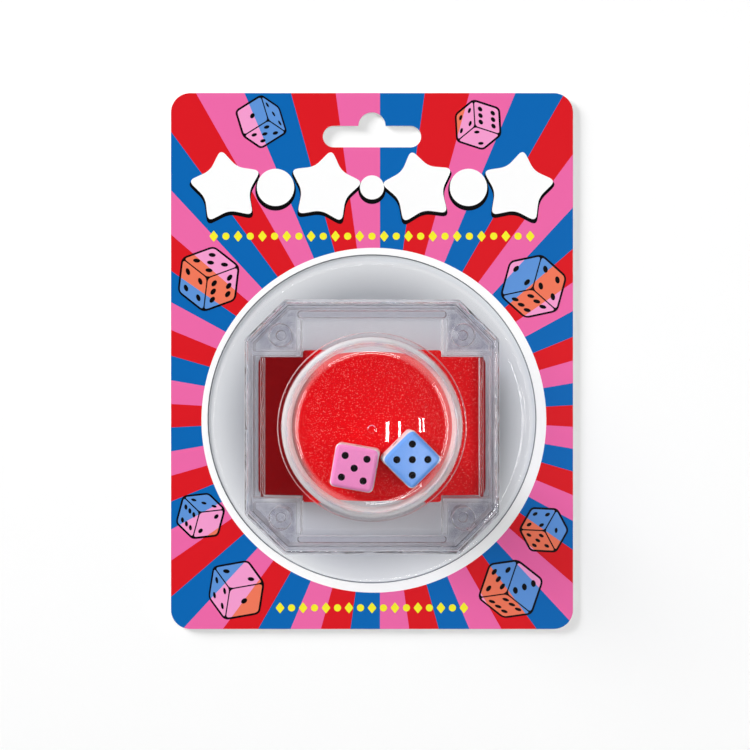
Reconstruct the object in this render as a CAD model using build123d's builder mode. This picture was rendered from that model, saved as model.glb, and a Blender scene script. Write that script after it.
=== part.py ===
"""Carded dice popper: a clear octagonal popper with a press-down dome and two dice, shut in a round
blister between two printed boards. The card lies on its back: X runs across it, Y up it towards the
hang slot, and Z out of its printed face. The origin is the middle of the card's back."""

from build123d import *
import math
import os

os.makedirs("parts", exist_ok=True)

# Driving dimensions, in millimetres and degrees. The popper grows outwards from its dome, and the
# blister grows round the popper.

# Hang card: two boards glued face to face
CARD_W = 133.35
CARD_H = 177.8
CARD_CORNER_R = 6.35
BACK_BOARD_T = 0.6
FRONT_SKIN_T = 0.3  # board in front of the blister's flange
SLOT_L = 32.6  # euro slot, end to end
SLOT_W = 7.1
SLOT_BUMP_R = 4.5
SLOT_MARGIN = 6.4  # top edge of the card to the top of the slot

# Blister, thermoformed from clear film
FILM_T = 0.35
BLISTER_DROP = 19.2  # its centre, below the card's centre
BLISTER_DRAFT = 6.0
BLISTER_SHOULDER_R = 4.0
BLISTER_FOOT_R = 0.25  # bend from the wall into the flange
FLANGE_W = 5.7
BOARD_FIT = 0.3  # front board round the wall and the flange
LID_GAP = 0.7  # film over the popper's dome
WALL_GAP = 0.3  # popper's lower corners to the film
POPPER_SLUMP = 2.22  # popper's centre, below the blister's

# Dice: contact point on the leaf's crown, as X and Y from the popper's centre in die widths, and turn
DIE = 14.0
DIE_EDGE_R = 1.5
DIE_GAP = 0.1
DICE = {"die_pink": (-0.371, -0.921, -10.0), "die_blue": (0.85, -0.729, 45.0)}

# Dome: a straight sleeve under an elliptical cap
DOME_R = 28.8
DOME_T = 1.5
DOME_SLEEVE = 6.0  # straight wall above the case
DOME_CAP = 18.0  # rise of the cap above the sleeve
DOME_FIT = 0.3  # in the hole of the case
DOME_FOOT_W = 1.6  # flange that keeps the dome in the case
DOME_FOOT_T = 1.5
DOME_FOOT_GAP = 0.2
DOME_LEAF_GAP = 0.3
COLLAR_W = 1.3
COLLAR_H = 1.0
GATE_MARK_R = 1.2
GATE_MARK_H = 0.3

# Corner blocks that locate the leaf, and the ribs and ledges at its ends
BLOCK_GAP = 2.13  # dome's foot to the corner of each block
BLOCK_WALL_T = 1.5
LEDGE_H = 4.0  # above the tray's underside
LEDGE_REACH = 4.4  # in from the tray's wall
HOLD_RIB_T = 0.9
HOLD_RIB_INSET = 1.5  # leaf's end to the rib's outer face
HOLD_RIB_END_GAP = 0.5
STIFF_RIB_W = 2.2
STIFF_RIB_H = 3.0
STIFF_RIB_WALL_GAP = 0.9  # to the tray's wall
STIFF_RIB_END_GAP = 2.0  # across to the bosses
STIFF_RIB_SIDE_GAP = 0.3  # to the ends of the corner blocks

# Snap leaf: arched spring steel, wider in its middle than at its two end tabs
LEAF_T = 0.3
LEAF_RISE = 4.0
LEAF_STEP = 2.2  # middle beyond the tabs, on each side
LEAF_TAB_R = 2.2
LEAF_SHOULDER_R = 0.9
LEAF_SIDE_GAP = 0.3
LEAF_END_GAP = 1.0  # to the tray's wall
LEAF_SEAT_GAP = 0.1

# Bosses of the tray, and the posts of the cap that peg into them
BOSS_R = 3.7
BOSS_BLOCK_GAP = 1.5
BOSS_WALL_GAP = 5.0
BOSS_CORNER_GAP = 0.66
BOSS_H = 7.7  # above the tray's underside
PEG_R = 1.6
PEG_L = 4.6
PEG_FIT = 0.05
SOCKET_SPARE = 0.4  # socket deeper than the peg
GATE_LUG = 3.3

# Popper case: an octagonal cap over an octagonal tray
CASE_H = 17.0
CASE_EDGE = 1.2  # bevel round the top
CASE_TOP_CORNER_R = 0.4  # corners of the top face, inside the bevel
PLATE_T = 1.5
SKIRT_T = 1.4
TRAY_FIT = 0.15
TRAY_WALL_T = 1.3
TRAY_FLOOR_T = 1.5

# Worked out from the above, from the dome outwards.

sleeve_in = DOME_R - DOME_T
foot_r = DOME_R + DOME_FOOT_W
block_in = (foot_r + BLOCK_GAP) / math.sqrt(2)  # inner faces of the blocks, the same in X and Y
boss_at = block_in + BLOCK_WALL_T + BOSS_BLOCK_GAP + BOSS_R
tray_wall_in = boss_at + BOSS_R + BOSS_WALL_GAP
wall_middle = tray_wall_in + TRAY_WALL_T / 2  # what runs into the tray's wall ends here
tray_inset = SKIRT_T + TRAY_FIT
popper_half = tray_wall_in + TRAY_WALL_T + tray_inset
corner_out = math.sqrt(2) * boss_at + BOSS_R + BOSS_CORNER_GAP + TRAY_WALL_T + tray_inset
popper_cut = 2 * popper_half - math.sqrt(2) * corner_out  # leg of each cut corner
stiff_rib_at = tray_wall_in - STIFF_RIB_WALL_GAP - STIFF_RIB_W / 2
block_end = stiff_rib_at - STIFF_RIB_W / 2 - STIFF_RIB_SIDE_GAP

plate_under = CASE_H - PLATE_T
foot_top = plate_under - DOME_FOOT_GAP
shoulder = CASE_H + DOME_SLEEVE
dome_top = shoulder + DOME_CAP + GATE_MARK_H

leaf_l = 2 * (tray_wall_in - LEAF_END_GAP)
leaf_tab_w = 2 * (block_in - LEAF_SIDE_GAP)
leaf_mid_l = leaf_tab_w  # both fit between the same blocks
leaf_mid_w = leaf_tab_w + 2 * LEAF_STEP
leaf_seat = LEDGE_H + LEAF_SEAT_GAP
leaf_r = (leaf_l**2 / 4 + LEAF_RISE**2) / (2 * LEAF_RISE)
leaf_centre = leaf_seat + LEAF_RISE - leaf_r  # height of the arch's centre of curvature
crown_r = leaf_r + LEAF_T

# The lower corners of the case's top come nearest the blister's tapered wall.
draft = math.radians(BLISTER_DRAFT)
corner_r = math.hypot(popper_half + POPPER_SLUMP, popper_half - popper_cut)
wall_lean = FILM_T / math.cos(draft) + (CASE_H - FILM_T) * math.tan(draft)
blister_r = corner_r + WALL_GAP + wall_lean  # outside, at the foot of the wall
front_board_t = FILM_T + FRONT_SKIN_T
slot_line = CARD_H / 2 - SLOT_MARGIN - SLOT_BUMP_R  # top edge of the slot's bar, centre of its bump

pack = Plane((0, -BLISTER_DROP, BACK_BOARD_T))  # centre of the blister, on the back board
pack_side = Plane(pack.origin, x_dir=(1, 0, 0), z_dir=(0, -1, 0))  # upright section through it
popper = Plane((0, -BLISTER_DROP - POPPER_SLUMP, BACK_BOARD_T))  # centre of the popper, as above
popper_side = Plane(popper.origin, x_dir=(1, 0, 0), z_dir=(0, -1, 0))  # upright section through it
popper_axis = Axis(popper.origin, (0, 0, 1))


def leaf_top(x):
    """Height of the leaf's upper face at x from its middle."""
    return leaf_centre + math.sqrt(crown_r**2 - x**2)


# The sleeve's lower edge first meets the leaf where its inside crosses the leaf's long edges.
touch_x = math.sqrt(max(sleeve_in**2 - leaf_mid_w**2 / 4, 0))
sleeve_end = leaf_top(touch_x) + DOME_LEAF_GAP


def card_outline():
    """The card's outline with its hang slot, drawn in the open sketch."""
    RectangleRounded(CARD_W, CARD_H, CARD_CORNER_R)
    with Locations((0, slot_line - SLOT_W / 2)):
        SlotOverall(SLOT_L, SLOT_W, mode=Mode.SUBTRACT)
    with Locations((0, slot_line)):
        Circle(SLOT_BUMP_R, mode=Mode.SUBTRACT)


def octagon(inset, mode=Mode.ADD):
    """The popper's outline, drawn in by inset on every side, drawn in the open sketch."""
    half = popper_half - inset
    flat = half - popper_cut + inset * (2 - math.sqrt(2))
    corner = [(half, flat), (flat, half)]
    points = corner + [(-x, y) for x, y in reversed(corner)]
    points += [(x, -y) for x, y in reversed(points)]
    Polygon(*points, mode=mode)


def make_back_board():
    with BuildPart() as back_card:
        with BuildSketch():
            card_outline()
        extrude(amount=BACK_BOARD_T)
    return back_card


def make_front_board():
    """Board with a window for the blister, and a recess in its back face for the flange."""
    with BuildPart() as front_card:
        with BuildSketch(Plane.XY.offset(BACK_BOARD_T)):
            card_outline()
        extrude(amount=front_board_t)
        with BuildSketch(pack):
            Circle(blister_r + BOARD_FIT)
        extrude(amount=front_board_t, mode=Mode.SUBTRACT)
        with BuildSketch(pack):
            Circle(blister_r + FLANGE_W + BOARD_FIT)
        extrude(amount=FILM_T, mode=Mode.SUBTRACT)
    return front_card


def make_blister():
    """One sheet of film: a flange, a tapered round wall and a flat top, revolved from its outer line."""
    top = dome_top + LID_GAP + FILM_T
    top_r = blister_r - (top - FILM_T) * math.tan(draft)
    with BuildPart() as blister:
        with BuildSketch(pack_side):
            with BuildLine():
                FilletPolyline(
                    (blister_r + FLANGE_W, FILM_T),
                    (blister_r, FILM_T),
                    (top_r, top),
                    (0, top),
                    radius=[BLISTER_FOOT_R, BLISTER_SHOULDER_R],
                )
                offset(amount=FILM_T, side=Side.LEFT)
            make_face()
        revolve(axis=Axis(pack.origin, (0, 0, 1)))
    return blister


def make_base_tray():
    """Tray with an outer wall, four corner blocks, peg bosses and a ledge under each end of the leaf."""
    with BuildPart() as base_tray:
        with BuildSketch(popper):
            octagon(tray_inset)
        extrude(amount=plate_under)
        with BuildSketch(popper.offset(TRAY_FLOOR_T)):
            octagon(tray_inset + TRAY_WALL_T)
        extrude(amount=plate_under - TRAY_FLOOR_T, mode=Mode.SUBTRACT)

        with BuildSketch(popper.offset(TRAY_FLOOR_T)):
            with GridLocations(2 * block_in + BLOCK_WALL_T, block_in + block_end, 2, 2):
                Rectangle(BLOCK_WALL_T, block_end - block_in)
            with GridLocations(block_in + wall_middle, 2 * block_in + BLOCK_WALL_T, 2, 2):
                Rectangle(wall_middle - block_in, BLOCK_WALL_T)
        extrude(amount=plate_under - TRAY_FLOOR_T)

        with BuildSketch(popper.offset(TRAY_FLOOR_T)):
            ledge_in = tray_wall_in - LEDGE_REACH
            with GridLocations(ledge_in + wall_middle, 0, 2, 1):
                Rectangle(wall_middle - ledge_in, 2 * block_in + BLOCK_WALL_T)
        extrude(amount=LEDGE_H - TRAY_FLOOR_T)

        with BuildSketch(popper.offset(TRAY_FLOOR_T)):
            with GridLocations(2 * boss_at, 2 * boss_at, 2, 2):
                Circle(BOSS_R)
        extrude(amount=BOSS_H - TRAY_FLOOR_T)
        with BuildSketch(popper.offset(BOSS_H)):
            with GridLocations(2 * boss_at, 2 * boss_at, 2, 2):
                Circle(PEG_R + PEG_FIT)
        extrude(amount=-PEG_L - SOCKET_SPARE, mode=Mode.SUBTRACT)
    return base_tray


def make_top_frame():
    """Cap with a skirt over the tray, a collared hole for the dome, ribs, and pegged posts."""
    with BuildPart() as top_frame:
        with BuildSketch(popper):
            octagon(0)
        extrude(amount=CASE_H)
        fillet(top_frame.edges().filter_by(Axis.Z), CASE_TOP_CORNER_R + CASE_EDGE)
        chamfer(top_frame.faces().sort_by(Axis.Z)[-1].edges(), CASE_EDGE)
        with BuildSketch(popper):
            octagon(SKIRT_T)
        extrude(amount=plate_under, mode=Mode.SUBTRACT)

        with BuildSketch(popper.offset(plate_under)):
            Circle(DOME_R + DOME_FIT + COLLAR_W)
        extrude(amount=PLATE_T + COLLAR_H)
        with BuildSketch(popper.offset(plate_under)):
            Circle(DOME_R + DOME_FIT)
        extrude(amount=PLATE_T + COLLAR_H, mode=Mode.SUBTRACT)

        with BuildSketch(popper.offset(plate_under)):
            with GridLocations(0, 2 * stiff_rib_at, 1, 2):
                SlotOverall(2 * (boss_at - BOSS_R - STIFF_RIB_END_GAP), STIFF_RIB_W)
        extrude(amount=-STIFF_RIB_H)

        rib_out = leaf_l / 2 - HOLD_RIB_INSET
        rib_end = leaf_top(rib_out - HOLD_RIB_T) + LEAF_SIDE_GAP
        with BuildSketch(popper.offset(rib_end)):
            with GridLocations(2 * rib_out - HOLD_RIB_T, 0, 2, 1):
                Rectangle(HOLD_RIB_T, 2 * (block_in - HOLD_RIB_END_GAP))
        extrude(amount=plate_under - rib_end)

        with BuildSketch(popper.offset(BOSS_H)):
            with GridLocations(2 * boss_at, 2 * boss_at, 2, 2):
                Circle(BOSS_R)
        extrude(amount=plate_under - BOSS_H)
        with BuildSketch(popper.offset(BOSS_H)):
            with GridLocations(2 * boss_at, 2 * boss_at, 2, 2):
                Circle(PEG_R)
        extrude(amount=-PEG_L)
        # The moulding's gate lug stands on one post, short of the tray's cut corner.
        lug_out = corner_out - tray_inset - TRAY_WALL_T - TRAY_FIT
        with BuildSketch(popper.offset(plate_under)):
            with Locations(Location((0, 0), -45)):
                with Locations((lug_out, 0)):
                    Rectangle(GATE_LUG, GATE_LUG, align=(Align.MAX, Align.CENTER))
        extrude(amount=-GATE_LUG)
    return top_frame


def make_dome():
    """Sleeve and elliptical cap of even wall, with a foot flange under the case's plate."""
    foot_under = foot_top - DOME_FOOT_T
    cap_inside = DOME_CAP - DOME_T
    # Both arcs stop at the gate mark, which stands on the crown over a flat of its own size.
    out_angle = math.degrees(math.acos(GATE_MARK_R / DOME_R))
    in_angle = math.degrees(math.acos(GATE_MARK_R / sleeve_in))
    with BuildPart() as dome:
        with BuildSketch(popper_side):
            with BuildLine():
                cap_out = EllipticalCenterArc((0, shoulder), DOME_R, DOME_CAP, 0, arc_size=out_angle)
                cap_in = EllipticalCenterArc((0, shoulder), sleeve_in, cap_inside, 0, arc_size=in_angle)
                Polyline(
                    cap_out @ 0,
                    (DOME_R, foot_top),
                    (foot_r, foot_top),
                    (foot_r, foot_under),
                    (DOME_R, foot_under),
                    (DOME_R, sleeve_end),
                    (sleeve_in, sleeve_end),
                    cap_in @ 0,
                )
                Polyline(
                    cap_out @ 1,
                    ((cap_out @ 1).X, dome_top),
                    (0, dome_top),
                    (0, (cap_in @ 1).Y),
                    cap_in @ 1,
                )
            make_face()
        revolve(axis=popper_axis)
    return dome


def make_snap_leaf():
    """Arched strip, cut to its plan outline: wide middle, narrower tabs with rounded corners."""
    with BuildPart() as snap_leaf:
        half_angle = math.degrees(math.asin(leaf_l / 2 / leaf_r))
        with BuildSketch(popper_side):
            with BuildLine():
                under = CenterArc((0, leaf_centre), leaf_r, 90 - half_angle, 2 * half_angle)
                over = CenterArc((0, leaf_centre), crown_r, 90 - half_angle, 2 * half_angle)
                Line(under @ 0, over @ 0)
                Line(under @ 1, over @ 1)
            make_face()
        extrude(amount=leaf_mid_w, both=True)
        with BuildSketch(popper) as plan:
            RectangleRounded(leaf_l, leaf_tab_w, LEAF_TAB_R)
            Rectangle(leaf_mid_l, leaf_mid_w)
            shoulders = plan.vertices().filter_by(lambda v: abs(v.X) < leaf_mid_l)
            fillet(shoulders.sort_by(lambda v: abs(v.Y - popper.origin.Y))[-4:], LEAF_SHOULDER_R)
        extrude(amount=CASE_H, mode=Mode.INTERSECT)
    return snap_leaf


def make_die(widths_x, widths_y, turn):
    """Rounded cube that stands square on the leaf's crown, at a place given in die widths."""
    x, y = widths_x * DIE, widths_y * DIE
    lean = math.asin(x / crown_r)
    up = Vector(math.sin(lean), 0, math.cos(lean))
    along = Vector(math.cos(lean), 0, -math.sin(lean)) * math.cos(math.radians(turn))
    across = Vector(0, math.sin(math.radians(turn)), 0)
    foot = popper.origin + Vector(x, y, leaf_top(x)) + up * DIE_GAP
    with BuildPart(Plane(foot, x_dir=along + across, z_dir=up)) as die:
        Box(DIE, DIE, DIE, align=(Align.CENTER, Align.CENTER, Align.MIN))
        fillet(die.edges(), DIE_EDGE_R)
    return die


pieces = {
    "back_card": make_back_board(),
    "front_card": make_front_board(),
    "blister": make_blister(),
    "base_tray": make_base_tray(),
    "top_frame": make_top_frame(),
    "dome": make_dome(),
    "snap_leaf": make_snap_leaf(),
}
for name, place in DICE.items():
    pieces[name] = make_die(*place)

for name, piece in pieces.items():
    piece.part.label = name
    export_step(piece.part, f"parts/{name}.step")
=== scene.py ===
"""Looks of the carded dice popper: printed boards, a clear blister, a clear popper and its dice."""

import math

import bmesh
import bpy
import numpy as np
from mathutils import Matrix, Vector


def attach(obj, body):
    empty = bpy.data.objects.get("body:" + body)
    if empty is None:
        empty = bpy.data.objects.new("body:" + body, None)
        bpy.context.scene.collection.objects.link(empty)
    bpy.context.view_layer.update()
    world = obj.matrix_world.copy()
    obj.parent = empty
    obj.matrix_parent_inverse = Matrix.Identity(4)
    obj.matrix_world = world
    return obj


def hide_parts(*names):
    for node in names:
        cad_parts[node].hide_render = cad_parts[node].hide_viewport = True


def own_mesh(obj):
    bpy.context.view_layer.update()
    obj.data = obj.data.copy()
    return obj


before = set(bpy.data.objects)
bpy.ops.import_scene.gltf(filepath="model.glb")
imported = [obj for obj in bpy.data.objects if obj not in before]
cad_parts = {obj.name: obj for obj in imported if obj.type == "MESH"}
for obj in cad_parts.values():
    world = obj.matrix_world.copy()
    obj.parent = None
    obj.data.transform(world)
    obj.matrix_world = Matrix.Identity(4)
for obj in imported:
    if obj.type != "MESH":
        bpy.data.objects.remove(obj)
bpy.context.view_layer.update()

MM = 0.001

# Sizes in millimetres. Heights of the popper's pieces count from the back board's front face.
BOARD = 0.6
CARD_FACE = 1.25
BLISTER_AT = (0.0, -19.2, BOARD)
POPPER_AT = (0.0, -21.42, BOARD)


# Meshes

def grid_faces(rows, cols, wrap=False):
    """Quads of a grid of points, rows by cols, counted row by row. With wrap, each row's end joins its
    start."""
    r = np.arange(rows - 1)[:, None]
    c = np.arange(cols if wrap else cols - 1)[None, :]
    d = (c + 1) % cols
    return np.stack([r * cols + c, r * cols + d, (r + 1) * cols + d, (r + 1) * cols + c], -1).reshape(-1, 4)


def piece(name, points, faces, finish, body, smooth=True):
    """A mesh object of points in millimetres that rides on a body and takes one finish."""
    mesh = bpy.data.meshes.new(name)
    mesh.from_pydata((np.asarray(points) * MM).tolist(), [], [list(f) for f in faces])
    mesh.validate()
    mesh.polygons.foreach_set("use_smooth", [smooth] * len(mesh.polygons))
    mesh.materials.append(finish)
    made = bpy.data.objects.new(name, mesh)
    bpy.context.scene.collection.objects.link(made)
    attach(made, body)
    return made


def soften(made, width, segments=2):
    """Rolls every edge sharper than 30 degrees over by a small width, as moulding and tumbling do."""
    bevel = made.modifiers.new("rolled_edges", "BEVEL")
    bevel.width = width * MM
    bevel.segments = segments
    bevel.limit_method = "ANGLE"
    bevel.angle_limit = math.radians(30)
    flat = made.modifiers.new("flat_faces_stay_flat", "WEIGHTED_NORMAL")
    flat.weight = 100
    return made


def turned(name, profile, at, finish, body, around=192):
    """Surface of revolution. A profile point (r, z) turned by angle a lies at (r cos a, r sin a, z) from
    the axis. The profile starts and ends on the axis, where a fan of triangles closes it."""
    profile = np.asarray(profile)
    ring = profile[1:-1]
    a = np.linspace(0, 2 * np.pi, around, endpoint=False)
    r, z = ring[:, :1], ring[:, 1:]
    points = np.stack([r * np.cos(a), r * np.sin(a), z + 0 * a], -1).reshape(-1, 3)
    first, last = len(points), len(points) + 1
    points = np.vstack([points, [0, 0, profile[0, 1]], [0, 0, profile[-1, 1]]]) + at
    i = np.arange(around)
    j = (i + 1) % around
    base = (len(ring) - 1) * around
    faces = grid_faces(len(ring), around, wrap=True)[:, ::-1].tolist()
    faces += np.stack([i, j, first + 0 * i], -1).tolist()
    faces += np.stack([base + j, base + i, last + 0 * i], -1).tolist()
    return piece(name, points, faces, finish, body)


def eased(corners, share=0.3, steps=6):
    """Closed outline with each corner C rounded: (1-t)^2 A + 2t(1-t) C + t^2 B, where A and B lie at a
    share of the way from C to its neighbours."""
    corner = np.asarray(corners, float)
    a = corner + (np.roll(corner, 1, 0) - corner) * share
    b = corner + (np.roll(corner, -1, 0) - corner) * share
    t = np.linspace(0, 1, steps)[None, :, None]
    curve = (1 - t) ** 2 * a[:, None] + 2 * t * (1 - t) * corner[:, None] + t**2 * b[:, None]
    return curve.reshape(-1, 2)


def ink_layer(name, outlines, thickness, finish):
    """Flat film of ink on the card's face. Each closed outline is drawn anticlockwise."""
    points, faces = [], []
    for outline in outlines:
        n, start = len(outline), sum(len(p) for p in points)
        for height in (CARD_FACE, CARD_FACE + thickness):
            points.append(np.hstack([outline, np.full((n, 1), height)]))
        i = np.arange(n)
        j = (i + 1) % n
        faces += [(start + i[::-1]).tolist(), (start + n + i).tolist()]
        faces += (start + np.stack([i, j, n + j, n + i], -1)).tolist()
    return piece(name, np.vstack(points), faces, finish, "pack", smooth=False)


def moulded_copy(node, finish, edge=0.35, shrink=0.02):
    """The node's own mesh with its doubles merged, its flat faces joined and its edges rolled. It shrinks
    by a hair on cooling, so that clear pieces that touch don't share a plane."""
    work = bmesh.new()
    work.from_mesh(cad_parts[node].data)
    bmesh.ops.remove_doubles(work, verts=work.verts, dist=0.001 * MM)
    bmesh.ops.dissolve_limit(work, angle_limit=math.radians(1), verts=work.verts, edges=work.edges)
    mesh = bpy.data.meshes.new(node + "_moulding")
    work.to_mesh(mesh)
    work.free()
    mesh.polygons.foreach_set("use_smooth", [True] * len(mesh.polygons))
    mesh.materials.append(finish)
    made = bpy.data.objects.new(node + "_moulding", mesh)
    bpy.context.scene.collection.objects.link(made)
    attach(made, "pack")
    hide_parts(node)
    cooling = made.modifiers.new("cooling_shrink", "DISPLACE")
    cooling.mid_level, cooling.strength = 0.0, -shrink * MM
    return soften(made, edge)


# Finishes. A noise scale is written as grains per millimetre, over MM.

# Sockets of a Mix node in its colour mode: the two colours that go in, and the one that comes out
UNDER, OVER, MIXED = 6, 7, 2


def linear(colour):
    """An sRGB hex colour as linear red, green, blue and a full alpha."""
    srgb = np.array([int(colour[i : i + 2], 16) for i in (1, 3, 5)]) / 255
    return (*np.where(srgb <= 0.04045, srgb / 12.92, ((srgb + 0.055) / 1.055) ** 2.4), 1.0)


def add(tree, kind, inputs=(), **settings):
    """Adds a shader node with its settings. Its inputs are given in order, or by name or number. Each is a
    value, a socket to link from, or a node whose first socket is meant."""
    made = tree.nodes.new("ShaderNode" + kind)
    for key, value in settings.items():
        setattr(made, key, value)
    for key, value in inputs.items() if isinstance(inputs, dict) else enumerate(inputs):
        if isinstance(value, bpy.types.Node):
            value = value.outputs[0]
        if isinstance(value, bpy.types.NodeSocket):
            tree.links.new(value, made.inputs[key])
        else:
            made.inputs[key].default_value = value
    return made


def new_finish(name):
    """An empty material and its node tree."""
    material = bpy.data.materials.new(name)
    material.use_nodes = True
    material.node_tree.nodes.clear()
    return material, material.node_tree


def plan_place(tree, at):
    """Object coordinates in metres, centred on a point given in millimetres and flattened onto the card."""
    return add(tree, "Mapping", {
        "Vector": add(tree, "TexCoord").outputs["Object"],
        "Location": (-at[0] * MM, -at[1] * MM, 0), "Scale": (1, 1, 0)})


def plan_reach(tree, at):
    """Distance across the card, in metres, from a point given in millimetres."""
    return add(tree, "VectorMath", [plan_place(tree, at)], operation="LENGTH").outputs["Value"]


def upward(tree):
    """How far up a face looks: its normal's z."""
    normal = add(tree, "NewGeometry").outputs["Normal"]
    return add(tree, "SeparateXYZ", [normal]).outputs["Z"]


def face_up(tree):
    """1 on faces that look up, which are printed, and 0 on cut edges and backs."""
    return add(tree, "Math", (upward(tree), 0.5), operation="GREATER_THAN")


def level_part(tree):
    """How level a face is: the size of its normal's z."""
    return add(tree, "Math", [upward(tree)], operation="ABSOLUTE")


BURST_AT = (2.65, -18.2)
RAYS = 54


def ray_burst(tree, colours):
    """Rays of three colours in turn round a point a little off the middle of the blister. Ray k covers
    k < a RAYS / 2 pi - 0.40 sin 2a - 0.13 sin 4a < k + 1, with a clockwise from straight up, so that the
    rays are narrower towards the sides."""
    split = add(tree, "SeparateXYZ", [plan_place(tree, BURST_AT)])
    angle = add(tree, "Math", (split.outputs["X"], split.outputs["Y"]), operation="ARCTAN2")
    ray = add(tree, "Math", (angle, RAYS / (2 * math.pi)), operation="MULTIPLY")
    for times, swing in ((2.0, 0.40), (4.0, 0.13)):
        wave = add(tree, "Math", (angle, times), operation="MULTIPLY")
        wave = add(tree, "Math", [wave], operation="SINE")
        ray = add(tree, "Math", (wave, -swing, ray), operation="MULTIPLY_ADD")
    turn = add(tree, "Math", (ray, 3.0), operation="FLOORED_MODULO")
    ramp = add(tree, "ValToRGB", [add(tree, "Math", (turn, 3.0), operation="DIVIDE")])
    ramp.color_ramp.interpolation = "CONSTANT"
    stops = ramp.color_ramp.elements
    stops.new(0.5)
    for stop, place, colour in zip(stops, (0.0, 1 / 3, 2 / 3), colours):
        stop.position, stop.color = place, linear(colour)
    return ramp


def board_shader(tree, colour, roughness=0.38):
    """Clay-coated board: smooth and slightly sheened. Its faint fibre relief is drawn 0.4 mm across, coarser
    than the real one, so that it shows."""
    coords = add(tree, "TexCoord").outputs["Object"]
    fibre = add(tree, "TexNoise", {"Vector": coords, "Scale": 2.5 / MM, "Detail": 3.0})
    relief = add(tree, "Bump", {"Height": fibre, "Strength": 0.06, "Distance": 0.1 * MM})
    sheen = add(tree, "Math", (fibre, 0.08, roughness - 0.04), operation="MULTIPLY_ADD")
    return add(tree, "BsdfPrincipled", {
        "Base Color": colour, "Roughness": sheen, "Specular IOR Level": 0.06, "Normal": relief})


def front_print(ring_at=(0.62, -19.65), ring_radius=57.2):
    """Coated board printed with the ray burst, with a plain white ring round the blister. Cut edges and
    the back are bare white board."""
    material, tree = new_finish("coated_board_ray_print")
    rays = ray_burst(tree, ("#0566b4", "#dc1822", "#ee68a8"))
    ring = add(tree, "Math", (plan_reach(tree, ring_at), ring_radius * MM), operation="LESS_THAN")
    edges = add(tree, "Math", (1.0, face_up(tree)), operation="SUBTRACT")
    bare = add(tree, "Math", (ring, edges), operation="MAXIMUM")
    face = add(tree, "Mix", {"Factor": bare, UNDER: rays, OVER: linear("#ffffff")}, data_type="RGBA")
    add(tree, "OutputMaterial", [board_shader(tree, face.outputs[MIXED])])
    return material


def popper_plan(tree):
    """|x|, |y| and the octagon reach of a point of the popper, in metres. Its outline is the octagon where
    the reach, the largest of |x|, |y| and (|x| + |y|) / 1.69, is 41.2 mm."""
    own = add(tree, "VectorMath", [plan_place(tree, POPPER_AT)], operation="ABSOLUTE")
    x, y, _ = add(tree, "SeparateXYZ", [own]).outputs
    slant = add(tree, "Math", (x, y), operation="ADD")
    slant = add(tree, "Math", (slant, 1.69), operation="DIVIDE")
    straight = add(tree, "Math", (x, y), operation="MAXIMUM")
    return x, y, add(tree, "Math", (straight, slant), operation="MAXIMUM")


def back_board_painted_shade():
    """Coated board with painted shade on its face: a soft grey painted shadow round the popper that fades to
    pale grey outwards, a light painted grey under the popper, and a dark painted shadow line that shows in
    the gap between the blister's foot and the window. The painted shadow starts at the popper's outline,
    with a darker painted shadow line at the very foot."""
    material, tree = new_finish("coated_board_painted_grey_shade")
    reach = plan_reach(tree, BLISTER_AT)
    # Painted shadow: dark grey at the popper's outline, fading to pale grey towards the blister's edge
    fade = add(tree, "MapRange", {"Value": reach, "From Min": 41.25 * MM, "From Max": 53.9 * MM})
    painted_shade = add(tree, "Mix", {
        "Factor": fade, UNDER: linear("#aaadb3"), OVER: linear("#e7e9ec")}, data_type="RGBA")
    # Painted shadow line in the gap between the blister's foot and the window
    gap_shadow = add(tree, "Math", (reach, 54.25 * MM), operation="GREATER_THAN")
    painted_shade = add(tree, "Mix", {
        "Factor": gap_shadow, UNDER: painted_shade.outputs[MIXED], OVER: linear("#7d8289")}, data_type="RGBA")
    octagon = popper_plan(tree)[2]
    # Inside the popper's outline, a light painted grey for the shade under the popper
    outside = add(tree, "MapRange", {"Value": octagon, "From Min": 40.9 * MM, "From Max": 41.6 * MM})
    painted_shade = add(tree, "Mix", {
        "Factor": outside, UNDER: linear("#e2e4e8"), OVER: painted_shade.outputs[MIXED]}, data_type="RGBA")
    # Painted shadow line, darker, along the popper's foot
    foot = add(tree, "Math", (octagon, 41.3 * MM, 0.2 * MM), operation="COMPARE")
    foot = add(tree, "Math", (foot, 0.6), operation="MULTIPLY")
    painted_shade = add(tree, "Mix", {
        "Factor": foot, UNDER: painted_shade.outputs[MIXED], OVER: linear("#74787f")}, data_type="RGBA")
    face = add(tree, "Mix", {
        "Factor": face_up(tree), UNDER: linear("#f1f1ef"), OVER: painted_shade.outputs[MIXED]}, data_type="RGBA")
    add(tree, "OutputMaterial", [board_shader(tree, face.outputs[MIXED], 0.45)])
    return material


def ink(name, *colours, roughness=0.35):
    """Screen-printed ink with a trace of the mesh it was pushed through, drawn coarse enough to show. One
    colour lies evenly, and three colours follow the ray burst."""
    material, tree = new_finish(name)
    coords = add(tree, "TexCoord").outputs["Object"]
    screen = add(tree, "TexNoise", {"Vector": coords, "Scale": 1.8 / MM, "Detail": 2.0})
    sheen = add(tree, "Math", (screen, 0.1, roughness - 0.05), operation="MULTIPLY_ADD")
    shader = add(tree, "BsdfPrincipled", {
        "Base Color": linear(colours[0]) if len(colours) == 1 else ray_burst(tree, colours),
        "Roughness": sheen, "Specular IOR Level": 0.06})
    add(tree, "OutputMaterial", [shader])
    return material


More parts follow.
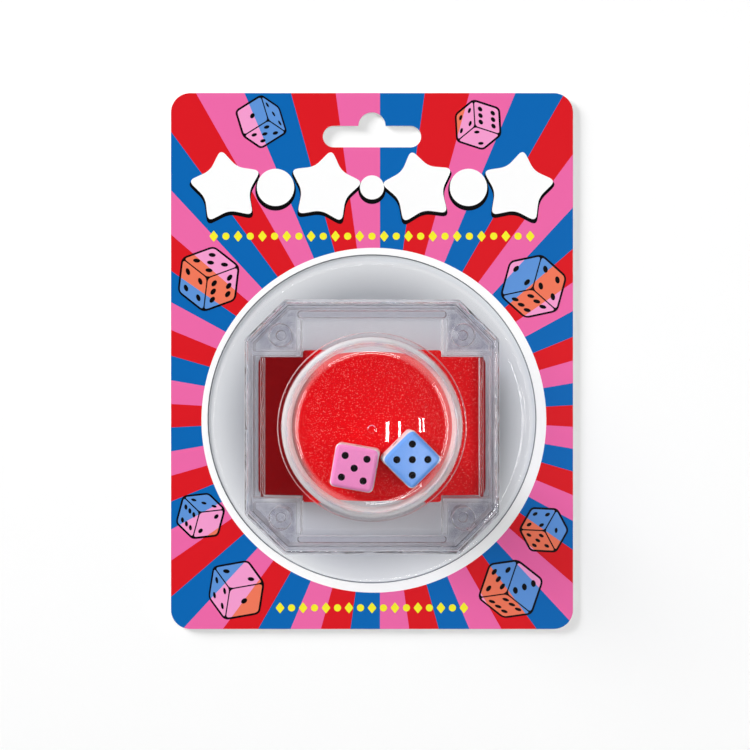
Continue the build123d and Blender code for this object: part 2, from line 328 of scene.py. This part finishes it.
def case_painted_shade(tree):
    """White, with painted shade: a little greyer where light crosses much more of the resin, down through
    the walls, past a reach of 35 mm, and through the corner posts, where |x| and |y| are both over 25 mm.
    Flow marks mottle the painted shade on the posts. Only level faces have it, so that walls stay clear."""
    x, y, octagon = popper_plan(tree)
    walls = add(tree, "MapRange", {"Value": octagon, "From Min": 34.0 * MM, "From Max": 36.0 * MM})
    nearer = add(tree, "Math", (x, y), operation="MINIMUM")
    posts = add(tree, "MapRange", {"Value": nearer, "From Min": 24.5 * MM, "From Max": 25.5 * MM})
    coords = add(tree, "TexCoord").outputs["Object"]
    flow = add(tree, "TexNoise", {"Vector": coords, "Scale": 0.35 / MM, "Detail": 2.0})
    marks = add(tree, "MapRange", {"Value": flow, "From Min": 0.35, "From Max": 0.6})
    walls = add(tree, "Math", (walls, 0.5), operation="MULTIPLY")
    posts = add(tree, "Math", (posts, marks), operation="MULTIPLY")
    shade_share = add(tree, "Math", (walls, posts), operation="MAXIMUM")
    level = add(tree, "Math", (level_part(tree), 0.5), operation="GREATER_THAN")
    shade_share = add(tree, "Math", (shade_share, level), operation="MULTIPLY")
    # Painted shade: pale grey on the level faces of walls and posts
    return add(tree, "Mix", {
        "Factor": shade_share, UNDER: linear("#ffffff"), OVER: linear("#dedee4")}, data_type="RGBA").outputs[MIXED]


def clear_moulding(name, roughness, ripple, haze, tone=None):
    """Crystal polystyrene, injection moulded: colourless, strongly refracting, with the slow ripples that
    the cooling mould leaves. Walls and rims carry a trace of a milky white layer, lit by the lamps, that
    shows where they're seen at a slant: a painted highlight that whitens the rims. Light passes through
    to what lies under it."""
    material, tree = new_finish(name)
    coords = add(tree, "TexCoord").outputs["Object"]
    flow = add(tree, "TexNoise", {"Vector": coords, "Scale": 0.14 / MM, "Detail": 2.0})
    relief = add(tree, "Bump", {"Height": flow, "Strength": ripple, "Distance": 1 * MM})
    glass = add(tree, "BsdfPrincipled", {
        "Base Color": tone(tree) if tone else linear("#ffffff"), "Roughness": roughness, "IOR": 1.59,
        "Transmission Weight": 1.0, "Normal": relief})
    # Painted highlight: a milky white layer on upright outer faces, strongest where they're seen at a slant
    slant = add(tree, "LayerWeight", {"Blend": 0.5}).outputs["Facing"]
    skin = add(tree, "MapRange", {
        "Value": slant, "From Min": 0.3, "From Max": 0.75, "To Max": haze}, interpolation_type="SMOOTHSTEP")
    outside = add(tree, "Math", (1.0, add(tree, "NewGeometry").outputs["Backfacing"]), operation="SUBTRACT")
    upright = add(tree, "Math", (level_part(tree), 0.9), operation="LESS_THAN")
    slant_whitening = add(tree, "Math", (outside, upright), operation="MULTIPLY")
    slant_whitening = add(tree, "Math", (skin, slant_whitening), operation="MULTIPLY")
    milk = add(tree, "BsdfDiffuse", {"Color": linear("#ffffff")})
    hazy = add(tree, "MixShader", (slant_whitening, glass, milk))
    shade = add(tree, "BsdfTransparent", {"Color": linear("#fcfcfd")})
    ray = add(tree, "LightPath")
    soft = add(tree, "MixShader", (ray.outputs["Is Diffuse Ray"], hazy, shade))
    add(tree, "OutputMaterial", [add(tree, "MixShader", (ray.outputs["Is Shadow Ray"], soft, shade))])
    return material


def blister_film():
    """Thermoformed PET film: too thin to bend the view or to cast a shadow. It adds a wavy gloss and greys
    a little what is seen through it at a slant. The gloss is turned down on the walls, so that they don't
    mirror the low lamps as white bars."""
    material, tree = new_finish("thermoformed_pet_film")
    coords = add(tree, "TexCoord").outputs["Object"]
    draw = add(tree, "TexNoise", {"Vector": coords, "Scale": 0.05 / MM, "Detail": 1.0})
    relief = add(tree, "Bump", {"Height": draw, "Strength": 0.03, "Distance": 1 * MM})
    gloss = add(tree, "BsdfGlossy", {"Roughness": 0.05, "Normal": relief})
    ray = add(tree, "LightPath")
    unshaded = add(tree, "Math", (1.0, ray.outputs["Is Shadow Ray"]), operation="SUBTRACT")
    direct = add(tree, "Math", (1.0, ray.outputs["Is Diffuse Ray"]), operation="SUBTRACT")
    lit = add(tree, "Math", (unshaded, direct), operation="MULTIPLY")
    slant = add(tree, "LayerWeight", {"Blend": 0.5}).outputs["Facing"]
    long_way = add(tree, "MapRange", {
        "Value": slant, "From Min": 0.6, "From Max": 1.0}, interpolation_type="SMOOTHSTEP")
    greyed = add(tree, "Math", (long_way, lit), operation="MULTIPLY")
    passed = add(tree, "Mix", {
        "Factor": greyed, UNDER: linear("#ffffff"), OVER: linear("#f9fafb")}, data_type="RGBA")
    clear = add(tree, "BsdfTransparent", {"Color": passed.outputs[MIXED]})
    edge = add(tree, "Fresnel", {"IOR": 1.35, "Normal": relief})
    mirrored = add(tree, "Math", (edge, 0.03), operation="MINIMUM")
    by_level = add(tree, "Math", (level_part(tree), 0.75, 0.25), operation="MULTIPLY_ADD")
    share = add(tree, "Math", (lit, by_level), operation="MULTIPLY")
    share = add(tree, "Math", (mirrored, share), operation="MULTIPLY")
    add(tree, "OutputMaterial", [add(tree, "MixShader", (share, clear, gloss))])
    return material


def leaf_lacquer():
    """Spring steel strip, dipped in red lacquer over a fine grain, with painted light and shade: painted
    brightest within 26 mm of the dome's axis, where light comes in through the dome, with pale flecks only
    where it is painted bright, and painted darker towards the ends, which lie in shade under the case."""
    material, tree = new_finish("red_lacquered_spring_steel")
    coords = add(tree, "TexCoord").outputs["Object"]
    along = add(tree, "SeparateXYZ", [coords]).outputs["X"]
    # Painted shade towards the left end, lifted by painted light within the dome's circle
    left = add(tree, "MapRange", {
        "Value": along, "From Min": -24 * MM, "From Max": -17 * MM}, interpolation_type="SMOOTHSTEP")
    lit_by_dome = add(tree, "MapRange", {
        "Value": plan_reach(tree, POPPER_AT), "From Min": 27 * MM, "From Max": 25 * MM})
    left = add(tree, "Math", (left, lit_by_dome), operation="MAXIMUM")
    # Painted shade towards the right end
    right = add(tree, "MapRange", {
        "Value": along, "From Min": 39 * MM, "From Max": 31 * MM}, interpolation_type="SMOOTHSTEP")
    painted_light_share = add(tree, "Math", (left, right), operation="MULTIPLY")
    # Dark red where shade is painted, bright red where light is painted
    red = add(tree, "Mix", {
        "Factor": painted_light_share, UNDER: linear("#7c0308"), OVER: linear("#f40a15")}, data_type="RGBA")
    grain = add(tree, "TexNoise", {"Vector": coords, "Scale": 1.3 / MM, "Detail": 4.0, "Roughness": 0.7})
    speck = add(tree, "MapRange", {"Value": grain, "From Min": 0.45, "From Max": 0.75, "To Max": 0.35})
    face = add(tree, "Mix", {
        "Factor": speck, UNDER: red.outputs[MIXED], OVER: linear("#b4060e")}, data_type="RGBA")
    flake = add(tree, "TexNoise", {"Vector": coords, "Scale": 2.0 / MM, "Detail": 1.0})
    flake = add(tree, "MapRange", {"Value": flake, "From Min": 0.62, "From Max": 0.68, "To Max": 0.65})
    flake = add(tree, "Math", (flake, painted_light_share), operation="MULTIPLY")
    face = add(tree, "Mix", {
        "Factor": flake, UNDER: face.outputs[MIXED], OVER: linear("#ff7a70")}, data_type="RGBA")
    relief = add(tree, "Bump", {"Height": grain, "Strength": 0.12, "Distance": 0.2 * MM})
    shader = add(tree, "BsdfPrincipled", {
        "Base Color": face.outputs[MIXED], "Roughness": 0.35, "Specular IOR Level": 0.05, "Normal": relief})
    add(tree, "OutputMaterial", [shader])
    return material


def die_plastic(name, colour, at, turn):
    """White ABS, moulded and tumbled, with one face printed edge to edge: where x^8 + y^8 < 6.85 mm^8 in
    the die's own frame, on the side that looks up."""
    material, tree = new_finish(name)
    coords = add(tree, "TexCoord").outputs["Object"]
    own = add(tree, "Mapping", {
        "Vector": coords, "Location": tuple(at * MM), "Rotation": turn}, vector_type="TEXTURE")
    x, y, z = add(tree, "SeparateXYZ", [own]).outputs
    powers = []
    for place in (x, y):
        share = add(tree, "Math", [place], operation="ABSOLUTE")
        share = add(tree, "Math", (share, 6.85 * MM), operation="DIVIDE")
        powers.append(add(tree, "Math", (share, 8.0), operation="POWER"))
    inside = add(tree, "Math", (add(tree, "Math", powers, operation="ADD"), 1.0), operation="LESS_THAN")
    top = add(tree, "Math", (z, 5.0 * MM), operation="GREATER_THAN")
    printed = add(tree, "Math", (inside, top), operation="MULTIPLY")
    face = add(tree, "Mix", {
        "Factor": printed, UNDER: linear("#f4f4f5"), OVER: linear(colour)}, data_type="RGBA")
    grain = add(tree, "TexNoise", {"Vector": coords, "Scale": 0.9 / MM, "Detail": 2.0})
    relief = add(tree, "Bump", {"Height": grain, "Strength": 0.05, "Distance": 0.2 * MM})
    shader = add(tree, "BsdfPrincipled", {
        "Base Color": face.outputs[MIXED], "Roughness": 0.28, "Specular IOR Level": 0.5, "Normal": relief})
    add(tree, "OutputMaterial", [shader])
    return material


# Boards

for name, finish in (("front_card", front_print()), ("back_card", back_board_painted_shade())):
    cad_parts[name].data.materials.clear()
    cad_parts[name].data.materials.append(finish)

# Print on the front board: a row of plump stars and discs, two rows of yellow beads, and tumbling dice

white_ink = ink("white_screen_ink", "#fdfdfd")
black_ink = ink("black_screen_ink", "#0c0b0d")
yellow_ink = ink("yellow_screen_ink", "#f6ee2e")
tint_ink = ink("pale_tint_ink", "#5e93d8", "#f0785a", "#f49cce")


def star(at, size, turn=0.0, depth=0.6):
    """Five-pointed star: corners at radius size and depth times size in turn, every 36 degrees."""
    a = np.radians(90 + turn + 36 * np.arange(10))
    r = size * np.where(np.arange(10) % 2, depth, 1.0)
    return eased(np.stack([at[0] + r * np.cos(a), at[1] + r * np.sin(a)], -1))


def disc(at, size, turn=0.0, sides=40):
    """Circle of points at angle a: (size cos a, size sin a)."""
    a = np.radians(turn) + np.linspace(0, 2 * np.pi, sides, endpoint=False)
    return np.stack([at[0] + size * np.cos(a), at[1] + size * np.sin(a)], -1)


def diamond(at, width, height):
    """Four corners at half the width and half the height from the middle, a little rounded."""
    reach = np.array([(width, 0), (0, height), (-width, 0), (0, -height)]) / 2
    return eased(at + reach, share=0.15, steps=4)


# Title row: form, place along the row, size and turn. Its shadow is a little larger and lies lower.
TITLE_Y = 57.6
TITLE = [(star, -48.4, 12.8, 8), (disc, -32.0, 6.2, 0), (star, -15.6, 12.8, -10), (disc, 0.0, 4.0, 0),
         (star, 15.6, 12.8, 12), (disc, 32.0, 6.2, 0), (star, 48.4, 12.8, -8)]
SHADOW_GROWS, SHADOW_DROPS = 0.55, 0.95

shadows = [form((x, TITLE_Y - SHADOW_DROPS), size + SHADOW_GROWS, turn) for form, x, size, turn in TITLE]
ink_layer("title_shadow_ink", shadows, 0.03, black_ink)
forms = [form((x, TITLE_Y), size, turn) for form, x, size, turn in TITLE]
ink_layer("title_white_ink", forms, 0.06, white_ink)

# Rows of diamonds and dots in turn: height on the card, how far the row reaches each way, and count
beads = []
for y, end, count in ((41.4, 52.5, 27), (-81.9, 30.5, 17)):
    for i, x in enumerate(np.linspace(-end, end, count)):
        beads.append(disc((x, y), 1.2, sides=20) if i % 2 else diamond((x, y), 3.0, 3.8))
ink_layer("yellow_bead_ink", beads, 0.04, yellow_ink)


def cube_turn(x, y, z):
    """Rotation by three angles in degrees about X, then Y, then Z."""
    c, s = np.cos(np.radians((x, y, z))), np.sin(np.radians((x, y, z)))
    about_x = np.array([[1, 0, 0], [0, c[0], -s[0]], [0, s[0], c[0]]])
    about_y = np.array([[c[1], 0, s[1]], [0, 1, 0], [-s[1], 0, c[1]]])
    about_z = np.array([[c[2], -s[2], 0], [s[2], c[2], 0], [0, 0, 1]])
    return about_z @ about_y @ about_x


# Places of the pips for each count, in steps from the middle of a face
PIPS = {1: [(0, 0)], 2: [(-1, 1), (1, -1)], 3: [(-1, 1), (0, 0), (1, -1)],
        4: [(-1, -1), (-1, 1), (1, -1), (1, 1)], 5: [(-1, -1), (-1, 1), (0, 0), (1, -1), (1, 1)],
        6: [(-1, -1), (-1, 0), (-1, 1), (1, -1), (1, 0), (1, 1)]}
# Corners of a square, anticlockwise
SQUARE = ((1, 1), (-1, 1), (-1, -1), (1, -1))
# Faces of a die: outward direction, the two directions of its face, and its count; opposite ones add to 7
FACES = [(np.array(n), np.array(u), np.cross(n, u), count) for n, u, count in (
    ((0, 0, 1), (1, 0, 0), 5), ((0, 0, -1), (1, 0, 0), 2), ((1, 0, 0), (0, 1, 0), 3),
    ((-1, 0, 0), (0, 1, 0), 4), ((0, 1, 0), (1, 0, 0), 1), ((0, -1, 0), (1, 0, 0), 6))]


def drawn_die(at, edge, turn, line_out=0.32, line_in=0.3):
    """Flat drawing of a turned cube, seen from straight above: its silhouette, the faces that look up,
    each drawn in from its border line, and their pips as slanted discs. The line lies partly outside the
    cube's edges and partly inside them."""
    spin = cube_turn(*turn)
    half, at = edge / 2, np.array(at)
    corners = np.array([(x, y, z) for x in (-1, 1) for y in (-1, 1) for z in (-1, 1)]) @ spin.T * half
    rim = np.delete(corners, [corners[:, 2].argmax(), corners[:, 2].argmin()], 0)[:, :2]
    rim = rim[np.arctan2(rim[:, 1], rim[:, 0]).argsort()]
    outline = eased(rim * (1 + line_out / half) + at, share=0.16)
    pip = disc((0, 0), 0.09 * edge, sides=16)
    fills, pips = [], []
    for n, u, v, count in FACES:
        n, u, v = spin @ n, spin @ u, spin @ v
        if n[2] > 0.05:
            square = np.array([n + i * u + j * v for i, j in SQUARE])[:, :2] * half
            middle = square.mean(0)
            fills.append(eased(middle + (square - middle) * (1 - line_in / half) + at, share=0.12))
            pips += [(n + (p * u + q * v) / 2)[:2] * half + at + pip[:, :1] * u[:2] + pip[:, 1:] * v[:2]
                     for p, q in PIPS[count]]
    return outline, fills, pips


# The eight drawn dice: middle, edge, and turn in degrees
drawn = [drawn_die(*d) for d in (
    ((-36.8, 79.4), 10.4, (52, -20, 32)), ((35.2, 78.4), 10.2, (-128, 30, -18)),
    ((-54.2, 27.2), 13.2, (-48, 34, 20)), ((53.6, 24.8), 13.4, (40, 142, 12)),
    ((-56.9, -51.4), 10.0, (-140, -28, 75)), ((57.0, -56.0), 9.8, (44, 38, -62)),
    ((-45.0, -76.0), 12.4, (130, 24, 10)), ((46.0, -75.6), 12.8, (-36, -44, 8)))]
ink_layer("drawn_dice_lines", [outline for outline, _, _ in drawn], 0.03, black_ink)
ink_layer("drawn_dice_tint", [fill for _, fills, _ in drawn for fill in fills], 0.06, tint_ink)
ink_layer("drawn_dice_pips", [pip for _, _, pips in drawn for pip in pips], 0.08, black_ink)

# Blister

DRAFT = math.radians(6)
FILM_TOP, FILM_R, SHEET = 42.35, 54.3, 0.35
FLANGE_R, FOOT_BEND, SHOULDER_BEND = 60.0, 0.25, 4.0


def film_line(inset):
    """Outer line of the drawn cup, moved inwards by inset: flange, foot bend, wall at the draft angle,
    shoulder bend and flat top. A bend of radius q round c is c - q (sin t, cos t) at the foot and
    c + q (sin t, cos t) at the shoulder."""
    lean = math.pi / 2 - DRAFT
    top_edge = FILM_R - (FILM_TOP - SHEET) * math.tan(DRAFT)
    foot = np.array([FILM_R + FOOT_BEND * math.tan(lean / 2), SHEET + FOOT_BEND])
    shoulder = np.array([top_edge - SHOULDER_BEND * math.tan(lean / 2), FILM_TOP - SHOULDER_BEND])
    t = np.linspace(0, lean, 7)
    foot_line = foot - (FOOT_BEND + inset) * np.stack([np.sin(t), np.cos(t)], -1)
    t = np.linspace(lean, 0, 25)
    shoulder_line = shoulder + (SHOULDER_BEND - inset) * np.stack([np.sin(t), np.cos(t)], -1)
    return np.vstack([[(FLANGE_R, SHEET - inset)], foot_line, shoulder_line])


outer, inner = film_line(0.0), film_line(SHEET)
profile = np.vstack([[(0, FILM_TOP)], outer[::-1], inner, [(0, FILM_TOP - SHEET)]])
cup = turned("blister_cup", profile, BLISTER_AT, blister_film(), "pack", around=256)
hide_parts("blister")

# Popper case

styrene = clear_moulding("moulded_crystal_styrene", roughness=0.02, ripple=0.05, haze=0.3, tone=case_painted_shade)
moulded_copy("base_tray", styrene)
moulded_copy("top_frame", styrene)

# Dome: an elliptic cap with a small flat gate mark on its crown, over a sleeve with a flange round it

DOME_R, DOME_CAP, SHOULDER, WALL = 28.8, 18.0, 23.0, 1.5
GATE_R, GATE_TOP = 1.2, 41.3
FLANGE, FLANGE_TOP, FLANGE_FOOT, SLEEVE_FOOT = 30.4, 15.3, 13.8, 8.346


def cap_line(radius, height):
    """Quarter of an ellipse, from the shoulder up to the gate: (radius cos t, SHOULDER + height sin t)."""
    t = np.linspace(0, math.acos(GATE_R / radius), 64)
    return np.stack([radius * np.cos(t), SHOULDER + height * np.sin(t)], -1)


ceiling = cap_line(DOME_R - WALL, DOME_CAP - WALL)
profile = np.vstack([
    [(0, GATE_TOP), (GATE_R, GATE_TOP)], cap_line(DOME_R, DOME_CAP)[::-1],
    [(DOME_R, FLANGE_TOP), (FLANGE, FLANGE_TOP), (FLANGE, FLANGE_FOOT), (DOME_R, FLANGE_FOOT)],
    [(DOME_R, SLEEVE_FOOT), (DOME_R - WALL, SLEEVE_FOOT)], ceiling, [(0, ceiling[-1, 1])]])
polished = clear_moulding("polished_crystal_styrene", roughness=0.0, ripple=0.008, haze=0.5)
dome = turned("dome_moulding", profile, POPPER_AT, polished, "dome")
soften(dome, 0.2, segments=3)
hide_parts("dome")

# Snap leaf: a wide middle and a narrower tab at each end, bowed on a large radius

CROWN_R, CROWN, LEAF_T = 177.165, 8.4, 0.3
MID_END, MID_HALF, MID_CORNER = 22.702, 24.902, 0.9
TAB_END, TAB_HALF, TAB_CORNER = 37.402, 22.702, 2.2


def corner_line(x, end, half, corner):
    """Half width at x of a part that ends with rounded corners: half - q + sqrt(q^2 - d^2), where d is how
    far x reaches into the corner of radius q."""
    d = np.clip(x - end + corner, 0, corner)
    return half - corner + np.sqrt(corner**2 - d**2)


def leaf_half_width(x):
    """Half the leaf's width at x: the middle's line where it is the wider, and the tab's past its end."""
    middle = corner_line(abs(x), MID_END, MID_HALF, MID_CORNER)
    tab = corner_line(abs(x), TAB_END, TAB_HALF, TAB_CORNER)
    return np.where(abs(x) <= MID_END, np.maximum(middle, TAB_HALF), tab)


# Stations along one half, closest in the corners, with one just past the step from middle to tab
bend = np.sin(np.linspace(0, np.pi / 2, 9))
x = np.concatenate([
    MID_END * np.linspace(0, 1, 20)[:-2], MID_END - MID_CORNER + MID_CORNER * bend, [MID_END + 0.01],
    np.linspace(MID_END + 1, TAB_END - TAB_CORNER, 12), TAB_END - TAB_CORNER + TAB_CORNER * bend[1:]])
x = np.unique(np.round(x, 5))
x = np.concatenate([-x[::-1], x[x > 0]])
side = np.linspace(-1, 1, 25)
X = np.repeat(x[:, None], len(side), 1)
Y = leaf_half_width(X) * side
TOP = CROWN - CROWN_R + np.sqrt(CROWN_R**2 - X**2)
loop = np.concatenate([np.stack([X, Y, TOP], -1), np.stack([X, Y, TOP - LEAF_T], -1)[:, ::-1]], 1)
rows, cols = loop.shape[:2]
faces = grid_faces(rows, cols, wrap=True)[:, ::-1].tolist()
across = np.arange(len(side) - 1)
cap = np.stack([across, across + 1, cols - 2 - across, cols - 1 - across], -1)
faces += cap[:, ::-1].tolist() + (cap + (rows - 1) * cols).tolist()
leaf = piece("leaf_strip", loop.reshape(-1, 3) + POPPER_AT, faces, leaf_lacquer(), "pack")
leaf.data.set_sharp_from_angle(angle=math.radians(40))
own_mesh(leaf)
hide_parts("snap_leaf")

# Dice

DIE, EDGE, REST_GAP = 14.0, 1.5, 0.1
PIP_R, PIP_RISE, PIP_SINK, PIP_STEP = 1.15, 0.04, 0.05, 3.5


def rounded_cube(edge, radius, steps=6):
    """Cube whose edges have a radius: each point q of a grid on the sharp cube goes to
    c + radius (q - c) / |q - c|, with c the nearest point of the inner cube."""
    half = edge / 2
    core = half - radius
    bend = radius * np.linspace(0, 1, steps + 1)
    g = np.concatenate([bend - half, half - bend[::-1]])
    n = len(g)
    points, faces = [], []
    for k, (out, u, v, _) in enumerate(FACES):
        q = out * half + g[:, None, None] * u + g[None, :, None] * v
        c = np.clip(q, -core, core)
        points.append((c + radius * (q - c) / np.linalg.norm(q - c, axis=-1, keepdims=True)).reshape(-1, 3))
        faces.append(grid_faces(n, n)[:, ::-1] + k * n * n)
    points, welded = np.unique(np.vstack(points).round(5), axis=0, return_inverse=True)
    return points, welded.reshape(-1)[np.vstack(faces)]


def pip_caps(rings=4, around=24):
    """Pips printed a touch proud: shallow caps with z = rise (1 - (r / radius)^2), on every face. A skirt
    closes each below the face."""
    r = np.linspace(1, 0, rings + 1)[:-1]
    a = np.linspace(0, 2 * np.pi, around, endpoint=False)
    flat = np.stack([r[:, None] * np.cos(a), r[:, None] * np.sin(a)], -1).reshape(-1, 2) * PIP_R
    tip = rings * around
    flat = np.vstack([flat, [(0, 0)], flat[:around]])
    high = PIP_RISE * (1 - (np.linalg.norm(flat, axis=1) / PIP_R) ** 2)
    high[tip + 1 :] = -PIP_SINK
    i = np.arange(around)
    j = (i + 1) % around
    cap = grid_faces(rings, around, wrap=True).tolist()
    cap += np.stack([tip - around + i, tip - around + j, tip + 0 * i], -1).tolist()
    cap += np.stack([tip + 1 + i, tip + 1 + j, j, i], -1).tolist()
    cap += [(tip + 1 + i[::-1]).tolist()]
    points, faces = [], []
    for out, u, v, count in FACES:
        for p, q in PIPS[count]:
            start = sum(len(s) for s in points)
            x, y = flat[:, :1] + p * PIP_STEP, flat[:, 1:] + q * PIP_STEP
            points.append(out * (DIE / 2 + high[:, None]) + x * u + y * v)
            faces += [[start + k for k in face] for face in cap]
    return np.vstack(points), faces


def die(name, body, x, y, turn, colour):
    """A die that stands square on the leaf's crown at x, y: its up leans by asin(x / crown radius)."""
    lean = math.degrees(math.asin(x / CROWN_R))
    spin = cube_turn(0, lean, 0) @ cube_turn(0, 0, turn)
    foot = np.array([x, y, CROWN - CROWN_R + math.sqrt(CROWN_R**2 - x**2)])
    at = foot + spin[:, 2] * (DIE / 2 + REST_GAP) + POPPER_AT
    euler = tuple(Matrix(spin.tolist()).to_euler())
    points, faces = rounded_cube(DIE, EDGE)
    white = die_plastic(name + "_abs", colour, at, euler)
    made = piece(name + "_cube", points @ spin.T + at, faces, white, body)
    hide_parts(name)
    points, faces = pip_caps()
    piece(name + "_pips", points @ spin.T + at, faces, pip_ink, body)


pip_ink = ink("black_pip_ink", "#151216", roughness=0.3)
die("die_pink", "pink_die", -5.194, -12.894, -10, "#ff92d0")
die("die_blue", "blue_die", 11.9, -10.206, 45, "#72acff")

# Floor, light and camera, in metres

MIDDLE = (0.0, -0.02, 0.02)
FLOOR_HALF, FLOOR_Z = 1.2, -0.0003


def clear_ray(tree):
    """1 for light that comes off or through a clear or shiny piece."""
    ray = add(tree, "LightPath").outputs
    return add(tree, "Math", (ray["Is Glossy Ray"], ray["Is Transmission Ray"]), operation="MAXIMUM")


def studio_paper():
    """Matte paper whose fine tooth kills any gloss. Away from the object it fades into the white
    background."""
    material, tree = new_finish("matte_white_studio_paper")
    coords = add(tree, "TexCoord").outputs["Object"]
    tooth = add(tree, "TexNoise", {"Vector": coords, "Scale": 0.9 / MM, "Detail": 2.0})
    relief = add(tree, "Bump", {"Height": tooth, "Strength": 0.03, "Distance": 0.2 * MM})
    paper = add(tree, "BsdfPrincipled", {
        "Base Color": linear("#ffffff"), "Roughness": 0.9, "Specular IOR Level": 0.1, "Normal": relief})
    reach = plan_reach(tree, (0, 0))
    away = add(tree, "MapRange", {
        "Value": reach, "From Min": 0.17, "From Max": 0.5}, interpolation_type="SMOOTHSTEP")
    camera_ray = add(tree, "LightPath").outputs["Is Camera Ray"]
    seen = add(tree, "Math", (camera_ray, clear_ray(tree)), operation="MAXIMUM")
    seen = add(tree, "Math", (away, seen), operation="MULTIPLY")
    sweep = add(tree, "Emission", {"Color": linear("#ffffff"), "Strength": 1.0})
    add(tree, "OutputMaterial", [add(tree, "MixShader", (seen, paper, sweep))])
    return material


mesh = bpy.data.meshes.new("studio_floor")
mesh.from_pydata([(FLOOR_HALF * i, FLOOR_HALF * j, FLOOR_Z) for i, j in SQUARE], [], [(0, 1, 2, 3)])
mesh.materials.append(studio_paper())
studio_floor = bpy.data.objects.new("studio_floor", mesh)
bpy.context.scene.collection.objects.link(studio_floor)


def lamp(name, at, aim, size, power):
    """A rectangular softbox at a place in metres, turned to face its aim, with power in watts."""
    light = bpy.data.lights.new(name, "AREA")
    light.shape, light.size, light.size_y, light.energy = "RECTANGLE", size[0], size[1], power
    made = bpy.data.objects.new(name, light)
    bpy.context.scene.collection.objects.link(made)
    made.location = at
    made.rotation_euler = (Vector(aim) - Vector(at)).to_track_quat("-Z", "Y").to_euler()
    return made


# Two large softboxes that only matte surfaces see
for name, at, size, power in (("ceiling_softbox", (0.0, 0.0, 1.3), (1.6, 1.6), 3.6),
                              ("left_softbox", (-1.9, 1.24, 0.84), (0.9, 0.9), 62.5)):
    softbox = lamp(name, at, MIDDLE, size, power)
    softbox.visible_glossy = softbox.visible_transmission = False

# Strips a metre off that the dome mirrors: degrees from overhead, place along Y, length, width and power
for k, (angle, y, length, width, power) in enumerate((
        (12.4, -0.09, 0.28, 0.05, 0.9), (22.6, -0.053, 0.22, 0.035, 0.6),
        (42.5, 0.007, 0.2, 0.025, 0.5), (46.5, 0.007, 0.2, 0.025, 0.5))):
    a = math.radians(angle)
    lamp(f"strip_{k}", (math.sin(a), y, math.cos(a)), (0.0, y, MIDDLE[2]), (length, width), power)

# Low lights round the sides that only draw glints on edges
for name, x, y, length, power in (("right", 0.8, 0.02, 1.0, 0.9), ("lower", 0.25, -0.8, 0.7, 0.8),
                                  ("upper", -0.1, 0.8, 0.9, 0.7), ("left", -0.8, 0.0, 0.8, 0.6)):
    glint = lamp(name + "_edge_light", (x, y, 0.06), MIDDLE, (length, 0.02), power)
    glint.visible_diffuse = False

# The room: an even soft grey for matte surfaces, a white background, and for light that comes off or
# through clear pieces white low round the sides and dark overhead, so that flat faces carry no veil
MATTE_LEVEL, OVERHEAD_LEVEL, HORIZON_TOP = 0.29, 0.015, 0.14
world = bpy.data.worlds.new("studio_room")
bpy.context.scene.world = world
world.use_nodes = True
tree = world.node_tree
tree.nodes.clear()
up = add(tree, "SeparateXYZ", [add(tree, "TexCoord").outputs["Generated"]]).outputs["Z"]
mirrored = add(tree, "MapRange", {
    "Value": up, "From Min": 0.0, "From Max": HORIZON_TOP, "To Min": 1.0, "To Max": OVERHEAD_LEVEL},
    interpolation_type="SMOOTHSTEP")
level = add(tree, "Mix", {"Factor": clear_ray(tree), "A": MATTE_LEVEL, "B": mirrored})
camera_ray = add(tree, "LightPath").outputs["Is Camera Ray"]
level = add(tree, "Mix", {"Factor": camera_ray, "A": level, "B": 1.0})
room = add(tree, "Background", {"Color": linear("#ffffff"), "Strength": level})
add(tree, "OutputWorld", [room])

camera_data = bpy.data.cameras.new("camera")
camera_data.lens = 86.8
camera = bpy.data.objects.new("camera", camera_data)
camera.location = (0.001, -0.00464, 0.60125)
bpy.context.scene.collection.objects.link(camera)
bpy.context.scene.camera = camera

scene = bpy.context.scene
scene.view_settings.view_transform = "Standard"
scene.cycles.max_bounces = 32
scene.cycles.transmission_bounces = 24
scene.cycles.transparent_max_bounces = 32
scene.cycles.glossy_bounces = 8

bpy.context.view_layer.update()
